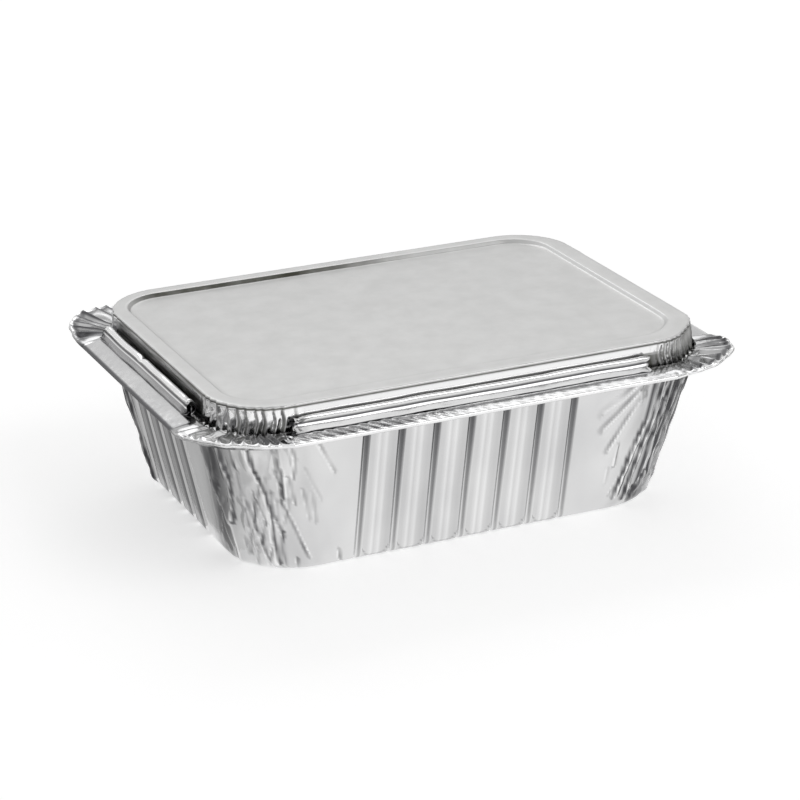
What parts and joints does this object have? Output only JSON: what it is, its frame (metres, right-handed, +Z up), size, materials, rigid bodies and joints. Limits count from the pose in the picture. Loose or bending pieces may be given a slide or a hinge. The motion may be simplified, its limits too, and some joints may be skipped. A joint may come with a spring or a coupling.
{
  "type": "foil food container",
  "caption": "Oblong pressed foil food container with fluted tapered walls, gathered corners and a foil lid held under the inward folded, rolled rim.",
  "frame": {"origin": "centre of the base, on the surface that the container stands on, under the middle of the rim", "axes": "+X along the long side, -Y towards the front, +Z up through the lid"},
  "size_m": [0.1786, 0.1332, 0.0553],
  "materials": {
    "tray_foil": "bright rolled foil, creased",
    "lid_foil": "satin foil, smooth, faintly mottled"
  },
  "bodies": {
    "root": {"tray": "tray_foil", "lid": "lid_foil"}
  },
  "joints": []
}
